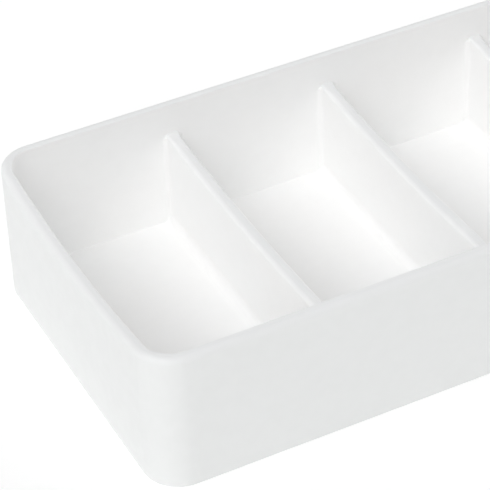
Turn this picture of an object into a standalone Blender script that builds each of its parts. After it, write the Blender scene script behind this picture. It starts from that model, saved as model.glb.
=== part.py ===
"""Divided mixing palette: an open moulded tray and the plates that divide it into wells.

The tray is one shell: a floor, four straight walls with rounded corners, and a rim that
dips at both ends. Each divider is a plate that stands in a guide channel, a low pair of
coved lips that runs down one long wall, across the floor and up the other. The plate
lifts straight up out of its channel.

Frame: +X along the tray, +Y from its front wall to its back wall, +Z up, with the origin
at the centre of the underside.
"""

import math

import bmesh
import bpy

OBJECT_NAME = "mixing_palette"
CUTTER_COLLECTION_NAME = "mixing_palette_cutters"

# Driving dimensions, in metres.
TRAY_WIDTH = 0.100
TRAY_HEIGHT = 0.041
WALL = 0.003
FLOOR = 0.0023
CORNER_RADIUS = 0.010
WELL_COUNT = 5
DIVIDER_PITCH = 0.048
DIVIDER_THICKNESS = 0.0036
END_WELL_LENGTH = 0.047

# The rim dips in one shallow arc at each end of the tray.
RIM_DIP = 0.0039
RIM_DIP_CHORD = 0.090

# Edge roundings.
RIM_OUTER_RADIUS = 0.0015
RIM_INNER_RADIUS = 0.0004
BASE_RADIUS = 0.0004
DIVIDER_TOP_RADIUS = 0.0016
DIVIDER_FOOT_RADIUS = 0.0003

# Underside: a shallow recess inside a narrow foot rim.
FOOT_RIM_WIDTH = 0.004
FOOT_RECESS = 0.0005

# Dividers: the height above the table where they meet the long walls, and the dip between.
DIVIDER_TOP = 0.0316
DIVIDER_DIP = 0.0020
CLEARANCE = 0.0003

# Guide channels: a lip beside the plate, and the cove that leads from it to floor or wall.
LIP_THICKNESS = 0.0004
FLOOR_COVE = 0.0023
WALL_COVE = 0.0014
GUIDE_SLOPE = 0.8
GUIDE_ROOT = 0.0010
GUIDE_SINK = 0.00003

# Resolution.
CORNER_SEGMENTS = 12
DIP_STRIPS = 20
RIM_SEGMENTS = 4
FINE_SEGMENTS = 2
COVE_SEGMENTS = 6
FOOT_SEGMENTS = 1

# Finish.
SHELL_COLOUR = (0.86, 0.86, 0.85, 1.0)
DIVIDER_COLOUR = (0.87, 0.87, 0.86, 1.0)
ROUGHNESS = 0.45

# Worked out from the dimensions above.
DIVIDER_COUNT = WELL_COUNT - 1
FIRST_DIVIDER_INSET = WALL + END_WELL_LENGTH + DIVIDER_THICKNESS / 2
TRAY_LENGTH = 2 * FIRST_DIVIDER_INSET + (DIVIDER_COUNT - 1) * DIVIDER_PITCH
INNER_WIDTH = TRAY_WIDTH - 2 * WALL
DIVIDER_LENGTH = INNER_WIDTH - 2 * CLEARANCE
DIVIDER_BASE = FLOOR + CLEARANCE
CHANNEL_HALF_WIDTH = DIVIDER_THICKNESS / 2 + CLEARANCE
GUIDE_TOP = DIVIDER_TOP - DIVIDER_TOP_RADIUS
SHARP_ANGLE = math.radians(35)
TOLERANCE = 0.00001
LOOP_TOLERANCE = 0.0001
LEVEL = 0.99


def clear_scene():
    """Remove every object and its leftover mesh."""
    for old in list(bpy.data.objects):
        bpy.data.objects.remove(old, do_unlink=True)
    for old in list(bpy.data.meshes):
        bpy.data.meshes.remove(old)


def new_collection(name):
    """Return an empty collection of this name, linked to the scene."""
    old = bpy.data.collections.get(name)
    if old is not None:
        bpy.data.collections.remove(old)
    collection = bpy.data.collections.new(name)
    bpy.context.scene.collection.children.link(collection)
    return collection


def plastic(name, colour):
    """Return a satin plastic material."""
    material = bpy.data.materials.new(name)
    material.use_nodes = True
    shader = material.node_tree.nodes["Principled BSDF"]
    shader.inputs["Base Color"].default_value = colour
    shader.inputs["Roughness"].default_value = ROUGHNESS
    shader.inputs["Metallic"].default_value = 0.0
    return material


def divider_positions():
    """X of each divider's middle, from the left end to the right."""
    first = -TRAY_LENGTH / 2 + FIRST_DIVIDER_INSET
    return [first + index * DIVIDER_PITCH for index in range(DIVIDER_COUNT)]


def arc_dip(y, chord, sagitta):
    """Depth at y of a circular arc of this chord and sagitta, centred on y = 0."""
    if abs(y) >= chord / 2:
        return 0.0
    radius = chord ** 2 / (8 * sagitta) + sagitta / 2
    return math.sqrt(radius ** 2 - y ** 2) - (radius - sagitta)


def block(size, base_height):
    """Return a bmesh box of this size, centred on the Z axis, standing on base_height."""
    mesh = bmesh.new()
    bmesh.ops.create_cube(mesh, size=1.0)
    bmesh.ops.scale(mesh, vec=size, verts=mesh.verts)
    bmesh.ops.translate(mesh, vec=(0, 0, base_height + size[2] / 2), verts=mesh.verts)
    return mesh


def cut_across(mesh, span):
    """Cut the mesh by planes across Y that share out the span in equal strips."""
    for index in range(1, DIP_STRIPS):
        y = -span / 2 + span * index / DIP_STRIPS
        geometry = list(mesh.verts) + list(mesh.edges) + list(mesh.faces)
        bmesh.ops.bisect_plane(mesh, geom=geometry, plane_co=(0, y, 0), plane_no=(0, 1, 0))


def round_edges(mesh, edges, radius, segments):
    """Round these edges of the mesh."""
    bmesh.ops.bevel(mesh, geom=edges, offset=radius, segments=segments, profile=0.5,
                    affect='EDGES', clamp_overlap=True)


def faces_towards(mesh, direction, height):
    """Faces whose normal is +Z or -Z, as direction says, at this height."""
    picked = []
    for face in mesh.faces:
        level = abs(face.calc_center_median().z - height) < TOLERANCE
        if level and face.normal.z * direction > LEVEL:
            picked.append(face)
    return picked


def depth_inside(point):
    """Distance from the tray's outer wall line in to this point, seen from above."""
    past_x = abs(point.x) - (TRAY_LENGTH / 2 - CORNER_RADIUS)
    past_y = abs(point.y) - (TRAY_WIDTH / 2 - CORNER_RADIUS)
    beyond = math.hypot(max(past_x, 0.0), max(past_y, 0.0)) + min(max(past_x, past_y), 0.0)
    return CORNER_RADIUS - beyond


def loop_at(mesh, depth, low, high):
    """Edges of the loop at this depth inside the wall line, between two heights."""
    picked = []
    for edge in mesh.edges:
        on_line = all(abs(depth_inside(v.co) - depth) < LOOP_TOLERANCE for v in edge.verts)
        in_band = all(low < v.co.z < high for v in edge.verts)
        if on_line and in_band:
            picked.append(edge)
    return picked


def sink_region(mesh, faces, margin, depth):
    """Inset a flat region by a margin and push the middle along Z by depth."""
    bmesh.ops.inset_region(mesh, faces=faces, thickness=margin, use_even_offset=True)
    extruded = bmesh.ops.extrude_face_region(mesh, geom=faces)
    moved = [item for item in extruded["geom"] if isinstance(item, bmesh.types.BMVert)]
    bmesh.ops.delete(mesh, geom=faces, context='FACES')
    bmesh.ops.translate(mesh, vec=(0, 0, depth), verts=moved)


def make_object(name, mesh, collection):
    """Turn a bmesh into an object in the collection."""
    bmesh.ops.recalc_face_normals(mesh, faces=mesh.faces)
    data = bpy.data.meshes.new(name)
    mesh.to_mesh(data)
    mesh.free()
    thing = bpy.data.objects.new(name, data)
    collection.objects.link(thing)
    return thing


def shade(thing):
    """Shade round faces smooth and keep true edges sharp."""
    thing.data.shade_smooth()
    thing.data.set_sharp_from_angle(angle=SHARP_ANGLE)


def shell_block():
    """Return the rounded outer block, cut across where the rim will dip."""
    mesh = block((TRAY_LENGTH, TRAY_WIDTH, TRAY_HEIGHT), 0.0)
    upright = []
    for edge in mesh.edges:
        run = edge.verts[0].co - edge.verts[1].co
        if abs(run.z) > TRAY_HEIGHT / 2:
            upright.append(edge)
    round_edges(mesh, upright, CORNER_RADIUS, CORNER_SEGMENTS)
    cut_across(mesh, TRAY_WIDTH - 2 * CORNER_RADIUS)
    return mesh


def dip_rim(mesh):
    """Lower the rim at both ends of the tray along the dip's arc."""
    for vertex in mesh.verts:
        at_rim = vertex.co.z > TRAY_HEIGHT - TOLERANCE
        at_end = abs(vertex.co.x) > TRAY_LENGTH / 2 - CORNER_RADIUS - TOLERANCE
        if at_rim and at_end:
            vertex.co.z -= arc_dip(vertex.co.y, RIM_DIP_CHORD, RIM_DIP)


def cove_outline(cove):
    """Outline of one lip and its cove, with the plate's side at x = 0 and the wall at y = 0."""
    outline = [(0.0, -GUIDE_ROOT), (0.0, cove)]
    for index in range(COVE_SEGMENTS + 1):
        angle = math.pi / 2 * index / COVE_SEGMENTS
        x = LIP_THICKNESS + cove * (1 - math.cos(angle))
        y = (cove + GUIDE_SINK) * (1 - math.sin(angle)) - GUIDE_SINK
        outline.append((x, y))
    outline.append((LIP_THICKNESS + cove, -GUIDE_ROOT))
    return outline


def extruded(name, outline, thickness, collection):
    """Return a mesh object: a flat outline extruded by a thickness, centred on its plane."""
    curve = bpy.data.curves.new(name, 'CURVE')
    curve.dimensions = '2D'
    curve.fill_mode = 'BOTH'
    curve.extrude = thickness / 2
    spline = curve.splines.new('POLY')
    spline.points.add(len(outline) - 1)
    for point, (x, y) in zip(spline.points, outline):
        point.co = (x, y, 0.0, 1.0)
    spline.use_cyclic_u = True
    source = bpy.data.objects.new(name + "_outline", curve)
    collection.objects.link(source)
    graph = bpy.context.evaluated_depsgraph_get()
    data = bpy.data.meshes.new_from_object(source.evaluated_get(graph))
    bpy.data.objects.remove(source, do_unlink=True)
    mesh = bmesh.new()
    mesh.from_mesh(data)
    bmesh.ops.remove_doubles(mesh, verts=mesh.verts, dist=TOLERANCE / 10)
    bpy.data.meshes.remove(data)
    return make_object(name, mesh, collection)


def slope_top(rib, top):
    """Slope a rib's top end down, away from the wall."""
    for vertex in rib.data.vertices:
        if vertex.co.z > top - TOLERANCE:
            vertex.co.z -= GUIDE_SLOPE * max(vertex.co.y, 0.0)


def guide_parts(collection):
    """Build the lips of every guide channel, ready to be joined to the shell."""
    floor_run = INNER_WIDTH + 2 * GUIDE_ROOT
    wall_run = GUIDE_TOP - FLOOR + GUIDE_ROOT
    parts = []
    for number, x in enumerate(divider_positions(), start=1):
        for side in (-1, 1):
            label = "guide_%d_%s" % (number, "left" if side < 0 else "right")
            edge = x + side * CHANNEL_HALF_WIDTH
            lip = extruded(label + "_floor", cove_outline(FLOOR_COVE), floor_run, collection)
            lip.rotation_euler = (math.pi / 2, 0, 0)
            lip.location = (edge, 0, FLOOR)
            lip.scale.x = side
            parts.append(lip)
            for wall in (-1, 1):
                name = label + ("_front" if wall < 0 else "_back")
                rib = extruded(name, cove_outline(WALL_COVE), wall_run, collection)
                slope_top(rib, wall_run / 2)
                rib.location = (edge, wall * INNER_WIDTH / 2, GUIDE_TOP - wall_run / 2)
                rib.scale = (side, -wall, 1)
                parts.append(rib)
    for part in parts:
        apply_scale(part)
        part.hide_render = True
        part.display_type = 'WIRE'


def apply_scale(thing):
    """Put the object's scale into its mesh, with its faces kept pointing out."""
    mesh = bmesh.new()
    mesh.from_mesh(thing.data)
    bmesh.ops.scale(mesh, vec=thing.scale, verts=mesh.verts)
    bmesh.ops.recalc_face_normals(mesh, faces=mesh.faces)
    mesh.to_mesh(thing.data)
    mesh.free()
    thing.scale = (1, 1, 1)


def make_shell(collection, guides):
    """Build the tray: walls, floor, dipped rim and guide channels."""
    mesh = shell_block()
    sink_region(mesh, faces_towards(mesh, -1, 0.0), FOOT_RIM_WIDTH, FOOT_RECESS)
    sink_region(mesh, faces_towards(mesh, 1, TRAY_HEIGHT), WALL, FLOOR - TRAY_HEIGHT)
    dip_rim(mesh)
    rim_low = TRAY_HEIGHT - RIM_DIP - TOLERANCE
    rim_high = TRAY_HEIGHT + TOLERANCE
    round_edges(mesh, loop_at(mesh, 0.0, rim_low, rim_high), RIM_OUTER_RADIUS, RIM_SEGMENTS)
    round_edges(mesh, loop_at(mesh, WALL, rim_low, rim_high), RIM_INNER_RADIUS, FINE_SEGMENTS)
    round_edges(mesh, loop_at(mesh, 0.0, -TOLERANCE, TOLERANCE), BASE_RADIUS, FINE_SEGMENTS)
    shell = make_object("tray_shell", mesh, collection)
    join = shell.modifiers.new("guide_channels", 'BOOLEAN')
    join.operation = 'UNION'
    join.solver = 'EXACT'
    join.operand_type = 'COLLECTION'
    join.collection = guides
    shade(shell)
    shell.data.materials.append(plastic("shell_plastic", SHELL_COLOUR))
    return shell


def divider_mesh():
    """Return the plate: a dipped top edge with both sides rounded, and a softened foot."""
    height = DIVIDER_TOP - DIVIDER_BASE
    mesh = block((DIVIDER_THICKNESS, DIVIDER_LENGTH, height), 0.0)
    cut_across(mesh, DIVIDER_LENGTH)
    top_edges = []
    foot_edges = []
    for edge in mesh.edges:
        run = edge.verts[0].co - edge.verts[1].co
        middle = (edge.verts[0].co + edge.verts[1].co) / 2
        lengthwise = abs(run.y) > TOLERANCE and abs(run.z) < TOLERANCE
        on_side = abs(middle.x) > DIVIDER_THICKNESS / 2 - TOLERANCE
        if lengthwise and on_side and middle.z > height - TOLERANCE:
            top_edges.append(edge)
        if lengthwise and on_side and middle.z < TOLERANCE:
            foot_edges.append(edge)
    for vertex in mesh.verts:
        if vertex.co.z > height - TOLERANCE:
            vertex.co.z -= arc_dip(vertex.co.y, DIVIDER_LENGTH, DIVIDER_DIP)
    round_edges(mesh, top_edges, DIVIDER_TOP_RADIUS, RIM_SEGMENTS)
    round_edges(mesh, foot_edges, DIVIDER_FOOT_RADIUS, FOOT_SEGMENTS)
    return mesh


def make_dividers(collection):
    """Stand one plate in each guide channel, each with its origin on its lifting line."""
    for number, x in enumerate(divider_positions(), start=1):
        name = "divider_%d" % number
        divider = make_object(name, divider_mesh(), collection)
        divider.location = (x, 0, DIVIDER_BASE)
        shade(divider)
        divider.data.materials.append(plastic(name + "_plastic", DIVIDER_COLOUR))


def build():
    """Build the whole palette."""
    clear_scene()
    parts = new_collection(OBJECT_NAME)
    cutters = new_collection(CUTTER_COLLECTION_NAME)
    guide_parts(cutters)
    make_shell(parts, cutters)
    make_dividers(parts)


build()
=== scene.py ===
"""Looks of the divided mixing palette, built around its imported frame.

A white moulded tray whose end rims dip, the coved guide channels moulded into it, and the
plates that stand in them and lift out. It stands on a pale floor in soft studio light.
Sizes that the frame holds are read from it. The others are named below, in metres.
"""

import math

import bmesh
import bpy
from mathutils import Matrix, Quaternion, Vector


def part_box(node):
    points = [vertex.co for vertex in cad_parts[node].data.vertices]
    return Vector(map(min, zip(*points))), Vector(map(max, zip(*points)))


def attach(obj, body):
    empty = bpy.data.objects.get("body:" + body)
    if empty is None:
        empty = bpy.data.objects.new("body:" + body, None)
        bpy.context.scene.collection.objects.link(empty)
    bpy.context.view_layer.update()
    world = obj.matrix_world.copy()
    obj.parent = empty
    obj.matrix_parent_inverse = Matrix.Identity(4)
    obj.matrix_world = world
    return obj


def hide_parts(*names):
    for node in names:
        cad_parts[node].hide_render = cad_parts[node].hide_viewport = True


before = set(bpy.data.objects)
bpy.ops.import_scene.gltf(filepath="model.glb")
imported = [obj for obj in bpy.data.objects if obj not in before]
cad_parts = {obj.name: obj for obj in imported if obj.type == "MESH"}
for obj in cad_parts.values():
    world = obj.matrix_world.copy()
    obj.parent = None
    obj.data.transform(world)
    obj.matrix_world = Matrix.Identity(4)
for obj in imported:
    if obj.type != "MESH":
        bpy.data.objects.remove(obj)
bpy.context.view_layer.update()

# The tray, from the frame.
SHELL_LOW, SHELL_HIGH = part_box("tray_shell")
LENGTH = SHELL_HIGH.x - SHELL_LOW.x
WIDTH = SHELL_HIGH.y - SHELL_LOW.y
HEIGHT = SHELL_HIGH.z - SHELL_LOW.z
DIVIDERS = sorted(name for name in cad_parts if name.startswith("divider_"))

# The tray's own sections.
WALL = 0.003
FLOOR = 0.0023
CORNER_RADIUS = 0.010
RIM_DIP = 0.0039
RIM_DIP_CHORD = 0.090
RIM_OUTER_RADIUS = 0.0018
RIM_INNER_RADIUS = 0.00045
BASE_RADIUS = 0.0004
WELL_FILLET = 0.0002
FOOT_RIM_WIDTH = 0.004
FOOT_RECESS = 0.0005
FOOT_STEP_RADIUS = 0.0002

# The dividers and their guide channels.
DIVIDER_DIP = 0.0020
DIVIDER_TOP_RADIUS = 0.0013
DIVIDER_END_RADIUS = 0.0003
SLIDING_GAP = 0.000008
LIP_TIP = 0.00002
FLOOR_COVE = 0.0026
WALL_COVE = 0.0016
GUIDE_ROOT = 0.0010
GUIDE_SINK = 0.00002
GUIDE_SLOPE = 0.35
GUIDE_FALL = 0.8
END_SHOULDER = 0.26
END_BLEND = 0.007

# Marks that the mould leaves on the underside.
EJECTOR_RADIUS = 0.0030
EJECTOR_DEPTH = 0.00015
EJECTOR_INSET = 0.014
GATE_RADIUS = 0.0018
GATE_DEPTH = 0.0003
MARK_SIDES = 48

# Resolution.
CORNER_SEGMENTS = 28
DIP_STRIPS = 64
RIM_SEGMENTS = 8
FINE_SEGMENTS = 3
COVE_SEGMENTS = 14
SMOOTH_ANGLE = math.radians(32)
SMOOTH_WEIGHT = 80
TOLERANCE = 0.00001
LOOP_TOLERANCE = 0.00008
LEVEL = 0.99

# Where the camera looks from, in degrees: how far round from straight in front towards the
# right, and how high. Its stand point is in tray widths from the near left corner.
CAMERA_TURN = -25.76
CAMERA_HEIGHT = 37.91
CAMERA_ROLL = math.radians(-2.35)
CAMERA_LENS = 180.07
CAMERA_SENSOR = 36.0
CAMERA_STAND = Vector((-1.687, -4.027, 4.169))

# Colours and surface of the plastic. The wells are brightest. The outside is painted a shade
# greyer, as painted shade, and the upward faces of the upper edges greyer and cooler, as
# painted shade in worn patches. Each contrast is the band of its noise that shows. SKIN_FADE is
# how deep in the wall the outside's painted shade ends, in shares of its thickness, and
# PATTERN_SHIFT sets the plates' patterns apart, for each metre between them.
PLASTIC_WARM = (0.950, 0.948, 0.944, 1)
PLASTIC_COOL = (0.942, 0.945, 0.944, 1)
PLASTIC_OUTSIDE_SHADE = (0.818, 0.828, 0.824, 1)
# Greyer, cooler painted shade for the upward upper faces, in worn patches.
PLASTIC_RUBBED_SHADE = (0.852, 0.860, 0.864, 1)
MOTTLE_SHADE = (0.988, 0.988, 0.988, 1)
SPECK_COLOUR = (0.55, 0.54, 0.52, 1)
SPECK_STRENGTH = 0.35
SPECK_SPACING = 0.009
SPECK_SIZE = 0.022
SPECK_CHOICE = (0.60, 0.66)
BROAD_MOTTLE = 0.045
BROAD_CONTRAST = (0.3, 0.7)
FINE_MOTTLE = 0.0035
FINE_CONTRAST = (0.25, 0.75)
WEAR_SHADE_PATCH = 0.012
WEAR_SHADE_CONTRAST = (0.2, 0.6)
WEAR_SHADE_SHARE = (0.6, 1.0)
SKIN_FADE = (0.8, 0.5)
PATTERN_SHIFT = 10
ROUGHNESS_RANGE = (0.44, 0.54)
RUBBED_GLOSS = 0.03
GLOSS_LEVEL = 0.4
WAVE_LENGTH = 0.015
WAVE_DEPTH = 0.00006
GRAIN_SIZE = 0.0004
GRAIN_DEPTH = 0.000006
RIM_BAND = (0.034, 0.0355)
DIVIDER_TOP_BAND = (0.0265, 0.0280)

# The studio sheet.
SHEET_COLOUR = (0.95, 0.95, 0.95, 1)
SHEET_SHADE = (0.93, 0.93, 0.93, 1)
SHEET_MOTTLE = 0.03
SHEET_ROUGHNESS = (0.85, 0.95)
SHEET_GLOW = 0.15
SHEET_REACH = 4.0
SHEET_DROP = 0.00005

# Soft studio light. Each lamp is a wide glow on the surroundings: how far round it stands, in
# degrees as for the camera, how high, how tight it is, and how strong.
DOME_GLOW = 0.2
KEY_LAMP = (-45, 47, 9, 2.4)
LEFT_LAMP = (-112, 45, 8, 1.2)
FRONT_LAMP = (5, 45, 8, 0.45)
RIGHT_LAMP = (105, 13, 10, 2.9)
BACK_LAMP = (190, 12, 14, 0.9)
LOW_LAMP = (-32, 12, 16, 0.5)
LAMPS = (KEY_LAMP, LEFT_LAMP, FRONT_LAMP, RIGHT_LAMP, BACK_LAMP, LOW_LAMP)
LIGHT_BOUNCES = 20


# ---------------------------------------------------------------- mesh work

def arc_dip(y, chord, sagitta):
    """Depth at y of a circular arc of this chord and sagitta, centred on y = 0."""
    if abs(y) >= chord / 2:
        return 0.0
    radius = chord ** 2 / (8 * sagitta) + sagitta / 2
    return math.sqrt(radius ** 2 - y ** 2) - (radius - sagitta)


def block(low, high):
    """Return a bmesh box between two corners."""
    mesh = bmesh.new()
    bmesh.ops.create_cube(mesh, size=1.0)
    bmesh.ops.scale(mesh, vec=high - low, verts=mesh.verts)
    bmesh.ops.translate(mesh, vec=(low + high) / 2, verts=mesh.verts)
    return mesh


def cut_across(mesh, span):
    """Cut the mesh by planes across Y that share out the span in equal strips."""
    for index in range(1, DIP_STRIPS):
        y = -span / 2 + span * index / DIP_STRIPS
        geometry = list(mesh.verts) + list(mesh.edges) + list(mesh.faces)
        bmesh.ops.bisect_plane(mesh, geom=geometry, plane_co=(0, y, 0), plane_no=(0, 1, 0))


def round_edges(mesh, edges, radius, segments):
    """Round these edges of the mesh."""
    bmesh.ops.bevel(mesh, geom=edges, offset=radius, segments=segments, profile=0.5,
                    affect='EDGES', clamp_overlap=True)


def edge_is_flat(edge):
    """Whether the two faces at this edge lie in one plane."""
    return edge.calc_face_angle(0.0) < SMOOTH_ANGLE


def upright_edges(mesh, height):
    """Edges that run up the whole height of a block."""
    picked = []
    for edge in mesh.edges:
        run = edge.verts[0].co - edge.verts[1].co
        if abs(run.z) > height / 2 and not edge_is_flat(edge):
            picked.append(edge)
    return picked


def level_faces(mesh, direction, height):
    """Faces at this height that look up, or down where direction is -1."""
    picked = []
    for face in mesh.faces:
        at_height = abs(face.calc_center_median().z - height) < TOLERANCE
        if at_height and face.normal.z * direction > LEVEL:
            picked.append(face)
    return picked


def depth_inside(point):
    """Distance from the tray's outer wall line in to this point, seen from above."""
    past_x = abs(point.x) - (LENGTH / 2 - CORNER_RADIUS)
    past_y = abs(point.y) - (WIDTH / 2 - CORNER_RADIUS)
    beyond = math.hypot(max(past_x, 0.0), max(past_y, 0.0)) + min(max(past_x, past_y), 0.0)
    return CORNER_RADIUS - beyond


def loop_at(mesh, depth, low, high):
    """Edges of the loop at this depth inside the wall line, between two heights."""
    picked = []
    for edge in mesh.edges:
        on_line = all(abs(depth_inside(v.co) - depth) < LOOP_TOLERANCE for v in edge.verts)
        in_band = all(low < v.co.z < high for v in edge.verts)
        if on_line and in_band:
            picked.append(edge)
    return picked


def sink_region(mesh, faces, margin, depth):
    """Inset a flat region by a margin and push the middle along Z by depth."""
    bmesh.ops.inset_region(mesh, faces=faces, thickness=margin, use_even_offset=True)
    extruded = bmesh.ops.extrude_face_region(mesh, geom=faces)
    moved = [item for item in extruded["geom"] if isinstance(item, bmesh.types.BMVert)]
    bmesh.ops.delete(mesh, geom=faces, context='FACES')
    bmesh.ops.translate(mesh, vec=(0, 0, depth), verts=moved)


def make_object(name, mesh):
    """Turn a bmesh into an object in the scene."""
    bmesh.ops.recalc_face_normals(mesh, faces=mesh.faces)
    data = bpy.data.meshes.new(name)
    mesh.to_mesh(data)
    mesh.free()
    thing = bpy.data.objects.new(name, data)
    bpy.context.scene.collection.objects.link(thing)
    return thing


def combine(thing, others, operation):
    """Join or cut the other objects into this one, and remove them."""
    gathered = bpy.data.collections.new("operands")
    for other in others:
        gathered.objects.link(other)
    step = thing.modifiers.new(operation.lower(), 'BOOLEAN')
    step.operation = operation
    step.solver = 'EXACT'
    step.operand_type = 'COLLECTION'
    step.collection = gathered
    graph = bpy.context.evaluated_depsgraph_get()
    data = bpy.data.meshes.new_from_object(thing.evaluated_get(graph))
    thing.modifiers.clear()
    thing.data = data
    for other in others:
        bpy.data.objects.remove(other, do_unlink=True)
    bpy.data.collections.remove(gathered)


def finish_surface(thing):
    """Shade the round stretches smooth and keep the flat ones flat."""
    thing.data.shade_smooth()
    thing.data.set_sharp_from_angle(angle=SMOOTH_ANGLE)
    weigh = thing.modifiers.new("weighted_normals", 'WEIGHTED_NORMAL')
    weigh.keep_sharp = True
    weigh.weight = SMOOTH_WEIGHT


# ---------------------------------------------------------------- the tray

def shell_block():
    """Return the rounded outer block, cut across where the rim will dip."""
    mesh = block(Vector((-LENGTH / 2, -WIDTH / 2, 0)), Vector((LENGTH / 2, WIDTH / 2, HEIGHT)))
    round_edges(mesh, upright_edges(mesh, HEIGHT), CORNER_RADIUS, CORNER_SEGMENTS)
    cut_across(mesh, WIDTH - 2 * CORNER_RADIUS)
    return mesh


def dip_rim(mesh):
    """Lower the rim at both ends of the tray along the dip's arc."""
    for vertex in mesh.verts:
        at_rim = vertex.co.z > HEIGHT - TOLERANCE
        at_end = abs(vertex.co.x) > LENGTH / 2 - CORNER_RADIUS - TOLERANCE
        if at_rim and at_end:
            vertex.co.z -= arc_dip(vertex.co.y, RIM_DIP_CHORD, RIM_DIP)


def hollow_shell():
    """Return the open tray with its dipped rim and every edge softened."""
    mesh = shell_block()
    sink_region(mesh, level_faces(mesh, -1, 0.0), FOOT_RIM_WIDTH, FOOT_RECESS)
    sink_region(mesh, level_faces(mesh, 1, HEIGHT), WALL, FLOOR - HEIGHT)
    dip_rim(mesh)
    rim_low = HEIGHT - RIM_DIP - TOLERANCE
    rim_high = HEIGHT + TOLERANCE
    round_edges(mesh, loop_at(mesh, 0.0, rim_low, rim_high), RIM_OUTER_RADIUS, RIM_SEGMENTS)
    round_edges(mesh, loop_at(mesh, WALL, rim_low, rim_high), RIM_INNER_RADIUS, FINE_SEGMENTS)
    round_edges(mesh, loop_at(mesh, 0.0, -TOLERANCE, TOLERANCE), BASE_RADIUS, FINE_SEGMENTS)
    well_line = loop_at(mesh, WALL, FLOOR - TOLERANCE, FLOOR + TOLERANCE)
    round_edges(mesh, well_line, WELL_FILLET, FINE_SEGMENTS)
    foot_line = loop_at(mesh, FOOT_RIM_WIDTH, -TOLERANCE, TOLERANCE)
    round_edges(mesh, foot_line, FOOT_STEP_RADIUS, FINE_SEGMENTS)
    return make_object("tray", mesh)


def cove_outline(cove):
    """Outline of one lip and its cove, with the plate's side at x = 0 and the wall at y = 0."""
    outline = [(0.0, -GUIDE_ROOT), (0.0, cove)]
    for index in range(COVE_SEGMENTS + 1):
        angle = math.pi / 2 * index / COVE_SEGMENTS
        x = LIP_TIP + cove * (1 - math.cos(angle))
        y = (cove + GUIDE_SINK) * (1 - math.sin(angle)) - GUIDE_SINK
        outline.append((x, y))
    outline.append((LIP_TIP + cove, -GUIDE_ROOT))
    return outline


def prism(outline, thickness):
    """Return a bmesh prism: an outline in X and Y, as thick as this along Z."""
    mesh = bmesh.new()
    ring = [mesh.verts.new((x, y, -thickness / 2)) for x, y in outline]
    face = mesh.faces.new(ring)
    extruded = bmesh.ops.extrude_face_region(mesh, geom=[face])
    moved = [item for item in extruded["geom"] if isinstance(item, bmesh.types.BMVert)]
    bmesh.ops.translate(mesh, vec=(0, 0, thickness), verts=moved)
    return mesh


def floor_lip(edge, side, run):
    """Build the lip along the floor beside a plate, with its edge at this X."""
    mesh = prism([(x * side, y) for x, y in cove_outline(FLOOR_COVE)], run)
    for vertex in mesh.verts:
        x, y, z = vertex.co
        vertex.co = (edge + x, z, FLOOR + y)
    return make_object("floor_lip", mesh)


def wall_rib(edge, side, wall, top):
    """Build the rib up a long wall beside a plate, with its edge at this X.

    Its top slopes down away from the wall and from the plate.
    """
    inner = WIDTH / 2 - WALL
    run = top - FLOOR + GUIDE_ROOT
    mesh = prism([(x * side, y) for x, y in cove_outline(WALL_COVE)], run)
    for vertex in mesh.verts:
        x, y, z = vertex.co
        if z > 0:
            z -= GUIDE_SLOPE * max(y, 0.0) + GUIDE_FALL * abs(x)
        vertex.co = (edge + x, wall * (inner - y), top - run / 2 + z)
    return make_object("wall_rib", mesh)


def guide_channels():
    """Build both lips and all four ribs of every guide channel."""
    parts = []
    for name in DIVIDERS:
        low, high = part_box(name)
        top = high.z - DIVIDER_TOP_RADIUS * END_SHOULDER
        for side, face in ((-1, low.x), (1, high.x)):
            edge = face + side * SLIDING_GAP
            parts.append(floor_lip(edge, side, WIDTH - 2 * WALL + 2 * GUIDE_ROOT))
            for wall in (-1, 1):
                parts.append(wall_rib(edge, side, wall, top))
    return parts


def disc(x, y, radius, depth):
    """Build a short cylinder that cuts a round mark into the underside."""
    mesh = bmesh.new()
    bmesh.ops.create_cone(mesh, cap_ends=True, segments=MARK_SIDES, radius1=radius,
                          radius2=radius, depth=2 * depth)
    bmesh.ops.translate(mesh, vec=(x, y, FOOT_RECESS), verts=mesh.verts)
    return make_object("mark", mesh)


def mould_marks():
    """Build the cutters for two rows of ejector marks and for the gate mark between them."""
    marks = [disc(0.0, 0.0, GATE_RADIUS, GATE_DEPTH)]
    reach_x = LENGTH / 2 - EJECTOR_INSET
    reach_y = WIDTH / 2 - EJECTOR_INSET
    for x in (-reach_x, -reach_x / 3, reach_x / 3, reach_x):
        for y in (-reach_y, reach_y):
            marks.append(disc(x, y, EJECTOR_RADIUS, EJECTOR_DEPTH))
    return marks


def make_tray():
    """Build the tray with its channels and mould marks, in the place of its CAD node."""
    tray = hollow_shell()
    combine(tray, guide_channels(), 'UNION')
    combine(tray, mould_marks(), 'DIFFERENCE')
    finish_surface(tray)
    tray.data.materials.clear()
    # True paints the tray's outside darker, as painted shade.
    tray.data.materials.append(moulded_plastic("tray_plastic", 0.0, *RIM_BAND, True))
    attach(tray, "tray")
    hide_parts("tray_shell")


# ---------------------------------------------------------------- the dividers

def divider_mesh(low, high):
    """Return a plate between two corners with a dipped top, and the top's long edges."""
    mesh = block(low, high)
    cut_across(mesh, high.y - low.y)
    top_edges = []
    for edge in mesh.edges:
        at_top = all(v.co.z > high.z - TOLERANCE for v in edge.verts)
        crosses = abs(edge.verts[0].co.x - edge.verts[1].co.x) > (high.x - low.x) / 2
        if at_top and not crosses:
            top_edges.append(edge)
    for vertex in mesh.verts:
        if vertex.co.z > high.z - TOLERANCE:
            vertex.co.z -= arc_dip(vertex.co.y, high.y - low.y, DIVIDER_DIP)
    return mesh, top_edges


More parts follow.
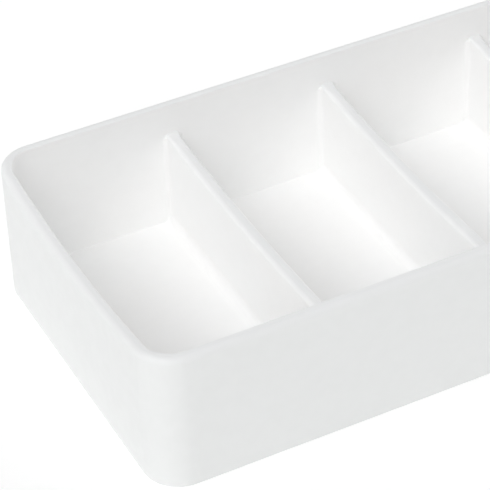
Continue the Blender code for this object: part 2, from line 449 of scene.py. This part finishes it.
def fill_ends(mesh, low, high):
    """Fade the top's rounding out towards both ends, so that the plate fills its channel."""
    for vertex in mesh.verts:
        x, y, z = vertex.co
        crown = high.z - arc_dip(y, high.y - low.y, DIVIDER_DIP)
        side = -1 if x < (low.x + high.x) / 2 else 1
        face = low.x if side < 0 else high.x
        if abs(face - x) > DIVIDER_TOP_RADIUS + TOLERANCE:
            continue
        if crown - z > DIVIDER_TOP_RADIUS + TOLERANCE:
            continue
        along = min((high.y - abs(y)) / END_BLEND, 1.0)
        eased = along * (2 - along)
        keep = END_SHOULDER + (1 - END_SHOULDER) * eased
        vertex.co = (face - (face - x) * keep, y, crown - (crown - z) * keep)


def make_divider(name):
    """Build one plate in the place of its CAD node.

    The ends' rounding comes last, because a small edge beside the top would limit its radius.
    """
    low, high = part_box(name)
    low = Vector((low.x, -WIDTH / 2 + WALL + SLIDING_GAP, FLOOR + SLIDING_GAP))
    high = Vector((high.x, WIDTH / 2 - WALL - SLIDING_GAP, high.z))
    mesh, top_edges = divider_mesh(low, high)
    round_edges(mesh, top_edges, DIVIDER_TOP_RADIUS, RIM_SEGMENTS)
    fill_ends(mesh, low, high)
    round_edges(mesh, upright_edges(mesh, high.z - low.z), DIVIDER_END_RADIUS, FINE_SEGMENTS)
    plate = make_object(name + "_plate", mesh)
    finish_surface(plate)
    plastic = moulded_plastic(name + "_plastic", low.x * PATTERN_SHIFT, *DIVIDER_TOP_BAND)
    plate.data.materials.append(plastic)
    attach(plate, name + "_body")
    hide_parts(name)


# ---------------------------------------------------------------- materials

def add_node(tree, kind, **settings):
    """Add a shader node and set these of its properties."""
    made = tree.nodes.new("ShaderNode" + kind)
    for name, value in settings.items():
        setattr(made, name, value)
    return made


def feed(tree, socket, value):
    """Link an output to this input, or set the input to a plain value."""
    if isinstance(value, bpy.types.NodeSocket):
        tree.links.new(value, socket)
    else:
        socket.default_value = value


def maths(tree, operation, first, second):
    """Return the result of one sum on two values."""
    made = add_node(tree, "Math", operation=operation)
    feed(tree, made.inputs[0], first)
    feed(tree, made.inputs[1], second)
    return made.outputs["Value"]


def remap(tree, value, source, target=(0.0, 1.0)):
    """Carry a value from one range to another along a smooth step."""
    made = add_node(tree, "MapRange", interpolation_type='SMOOTHSTEP')
    feed(tree, made.inputs["Value"], value)
    feed(tree, made.inputs["From Min"], source[0])
    feed(tree, made.inputs["From Max"], source[1])
    feed(tree, made.inputs["To Min"], target[0])
    feed(tree, made.inputs["To Max"], target[1])
    return made.outputs["Result"]


def noise(tree, place, grain, detail):
    """Noise whose features measure about this many metres."""
    made = add_node(tree, "TexNoise")
    feed(tree, made.inputs["Vector"], place)
    feed(tree, made.inputs["Scale"], 1 / grain)
    feed(tree, made.inputs["Detail"], detail)
    return made.outputs["Fac"]


def blend(tree, share, first, second, mode='MIX'):
    """Mix two colours by a share of the second."""
    made = add_node(tree, "Mix", data_type='RGBA', blend_type=mode)
    feed(tree, made.inputs["Factor"], share)
    feed(tree, made.inputs["A"], first)
    feed(tree, made.inputs["B"], second)
    return made.outputs["Result"]


def bump(tree, height, depth, below=None):
    """Raise the surface by a height map of this depth, over the bump below it if any."""
    made = add_node(tree, "Bump")
    feed(tree, made.inputs["Height"], height)
    feed(tree, made.inputs["Distance"], depth)
    if below is not None:
        feed(tree, made.inputs["Normal"], below)
    return made.outputs["Normal"]


def handled_shaded_tops(tree, low, high):
    """Mask of the upward surfaces between two heights, which are painted greyer as shade and
    where fingers and cloths rub.
    """
    place = add_node(tree, "TexCoord")
    facing = add_node(tree, "SeparateXYZ")
    feed(tree, facing.inputs["Vector"], place.outputs["Normal"])
    height = add_node(tree, "SeparateXYZ")
    feed(tree, height.inputs["Vector"], place.outputs["Object"])
    upward = remap(tree, facing.outputs["Z"], (0.0, 1.0))
    raised = remap(tree, height.outputs["Z"], (low, high))
    return maths(tree, 'MULTIPLY', upward, raised)


def vector_maths(tree, operation, first, second=(0, 0, 0)):
    """Return the node for one sum on two vectors."""
    made = add_node(tree, "VectorMath", operation=operation)
    feed(tree, made.inputs[0], first)
    feed(tree, made.inputs[1], second)
    return made


def outer_shade_skin(tree):
    """Mask of the tray's outside, painted darker as shade: whatever lies close inside its
    rounded wall line.
    """
    place = add_node(tree, "TexCoord").outputs["Object"]
    folded = vector_maths(tree, 'ABSOLUTE', place).outputs["Vector"]
    core = (LENGTH / 2 - CORNER_RADIUS, WIDTH / 2 - CORNER_RADIUS, HEIGHT)
    beyond = vector_maths(tree, 'SUBTRACT', folded, core).outputs["Vector"]
    beyond = vector_maths(tree, 'MAXIMUM', beyond).outputs["Vector"]
    reach = vector_maths(tree, 'LENGTH', beyond).outputs["Value"]
    return remap(tree, reach, [CORNER_RADIUS - WALL * share for share in SKIN_FADE])


def specks(tree, place):
    """Mask of rare faint specks of dark pigment in the resin."""
    cells = add_node(tree, "TexVoronoi")
    feed(tree, cells.inputs["Vector"], place)
    feed(tree, cells.inputs["Scale"], 1 / SPECK_SPACING)
    near = remap(tree, cells.outputs["Distance"], (SPECK_SIZE, SPECK_SIZE / 3))
    chosen = remap(tree, noise(tree, place, SPECK_SPACING * 3, detail=0.0), SPECK_CHOICE)
    return maths(tree, 'MULTIPLY', near, chosen)


def moulded_plastic(name, seed, wear_shade_low, wear_shade_high, outside=False):
    """Satin white moulded plastic with mottling, grain, specks, and upper edges greyed by
    painted shade and wear.

    The painted shade and wear lie between two heights. With outside, the tray's outside is
    painted darker, as shade.
    """
    material = bpy.data.materials.new(name)
    material.use_nodes = True
    tree = material.node_tree
    shader = tree.nodes["Principled BSDF"]
    source = add_node(tree, "TexCoord").outputs["Object"]
    place = vector_maths(tree, 'ADD', source, (seed, seed * 2, seed * 3)).outputs["Vector"]

    broad = noise(tree, place, BROAD_MOTTLE, detail=2.0)
    fine = noise(tree, place, FINE_MOTTLE, detail=4.0)
    edges = handled_shaded_tops(tree, wear_shade_low, wear_shade_high)
    patches = noise(tree, place, WEAR_SHADE_PATCH, detail=5.0)
    patchy = remap(tree, patches, WEAR_SHADE_CONTRAST, WEAR_SHADE_SHARE)
    # Mask of the painted shade and wear on the upward upper faces.
    wear_and_shade = maths(tree, 'MULTIPLY', edges, patchy)

    body = blend(tree, remap(tree, broad, BROAD_CONTRAST), PLASTIC_COOL, PLASTIC_WARM)
    if outside:
        # The outside is painted a shade darker, as painted shade.
        body = blend(tree, outer_shade_skin(tree), body, PLASTIC_OUTSIDE_SHADE)
    shaded = blend(tree, 1.0, body, MOTTLE_SHADE, 'MULTIPLY')
    body = blend(tree, remap(tree, fine, FINE_CONTRAST), body, shaded)
    # Painted shade, greyer and cooler, with wear, on the upward upper faces.
    body = blend(tree, wear_and_shade, body, PLASTIC_RUBBED_SHADE)
    dark = maths(tree, 'MULTIPLY', specks(tree, place), SPECK_STRENGTH)
    body = blend(tree, dark, body, SPECK_COLOUR)
    feed(tree, shader.inputs["Base Color"], body)

    rough = remap(tree, fine, FINE_CONTRAST, ROUGHNESS_RANGE)
    rough = maths(tree, 'SUBTRACT', rough, maths(tree, 'MULTIPLY', wear_and_shade, RUBBED_GLOSS))
    feed(tree, shader.inputs["Roughness"], rough)
    shader.inputs["Specular IOR Level"].default_value = GLOSS_LEVEL

    waves = bump(tree, noise(tree, place, WAVE_LENGTH, detail=1.0), WAVE_DEPTH)
    grain = bump(tree, noise(tree, place, GRAIN_SIZE, detail=2.0), GRAIN_DEPTH, waves)
    feed(tree, shader.inputs["Normal"], grain)
    return material


def floor_material():
    """Pale studio sheet, faintly mottled, with a faint glow that thins its shadows."""
    material = bpy.data.materials.new("studio_sheet")
    material.use_nodes = True
    tree = material.node_tree
    shader = tree.nodes["Principled BSDF"]
    place = add_node(tree, "TexCoord").outputs["Object"]
    mottle = remap(tree, noise(tree, place, SHEET_MOTTLE, detail=3.0), BROAD_CONTRAST)
    feed(tree, shader.inputs["Base Color"], blend(tree, mottle, SHEET_COLOUR, SHEET_SHADE))
    feed(tree, shader.inputs["Roughness"], remap(tree, mottle, (0.0, 1.0), SHEET_ROUGHNESS))
    shader.inputs["Specular IOR Level"].default_value = 0.0
    shader.inputs["Emission Color"].default_value = (1, 1, 1, 1)
    shader.inputs["Emission Strength"].default_value = SHEET_GLOW
    return material


# ---------------------------------------------------------------- studio

def make_floor():
    """A wide pale floor just under the tray."""
    mesh = bmesh.new()
    bmesh.ops.create_grid(mesh, x_segments=1, y_segments=1, size=SHEET_REACH)
    bmesh.ops.translate(mesh, vec=(0, 0, -SHEET_DROP), verts=mesh.verts)
    ground = make_object("studio_ground", mesh)
    ground.data.materials.append(floor_material())


def from_side(turn, height):
    """Direction of a place this far round from straight in front and this high, in degrees."""
    turn = math.radians(turn)
    height = math.radians(height)
    return Vector((math.sin(turn) * math.cos(height), -math.cos(turn) * math.cos(height),
                   math.sin(height)))


def make_camera():
    """Stand the camera in front of the tray's near left corner, looking along it and down."""
    data = bpy.data.cameras.new("camera")
    data.lens = CAMERA_LENS
    data.sensor_width = CAMERA_SENSOR
    camera = bpy.data.objects.new("camera", data)
    bpy.context.scene.collection.objects.link(camera)
    camera.location = Vector(SHELL_LOW) + CAMERA_STAND * WIDTH
    roll = Quaternion((0, 0, 1), CAMERA_ROLL)
    back = from_side(CAMERA_TURN, CAMERA_HEIGHT)
    camera.rotation_mode = 'QUATERNION'
    camera.rotation_quaternion = back.to_track_quat('Z', 'Y') @ roll
    bpy.context.scene.camera = camera


def lamp_glow(tree, direction, turn, height, tightness, strength):
    """Light from around one direction, fading smoothly away from it."""
    facing = vector_maths(tree, 'DOT_PRODUCT', direction, from_side(turn, height))
    ahead = maths(tree, 'MAXIMUM', facing.outputs["Value"], 0.0)
    return maths(tree, 'MULTIPLY', maths(tree, 'POWER', ahead, tightness), strength)


def make_lights():
    """Light the scene from a pale surround with wide soft lamps in it."""
    world = bpy.data.worlds.new("studio")
    world.use_nodes = True
    tree = world.node_tree
    place = add_node(tree, "TexCoord").outputs["Generated"]
    direction = vector_maths(tree, 'NORMALIZE', place).outputs["Vector"]
    glow = DOME_GLOW
    for lamp in LAMPS:
        glow = maths(tree, 'ADD', glow, lamp_glow(tree, direction, *lamp))
    feed(tree, tree.nodes["Background"].inputs["Color"], (1, 1, 1, 1))
    feed(tree, tree.nodes["Background"].inputs["Strength"], glow)
    bpy.context.scene.world = world


make_camera()
make_floor()
make_lights()
make_tray()
for divider in DIVIDERS:
    make_divider(divider)
bpy.context.scene.view_settings.view_transform = 'Standard'
# Light reaches the deep wells only after many bounces between their pale walls.
bpy.context.scene.cycles.diffuse_bounces = LIGHT_BOUNCES
bpy.context.scene.cycles.max_bounces = LIGHT_BOUNCES
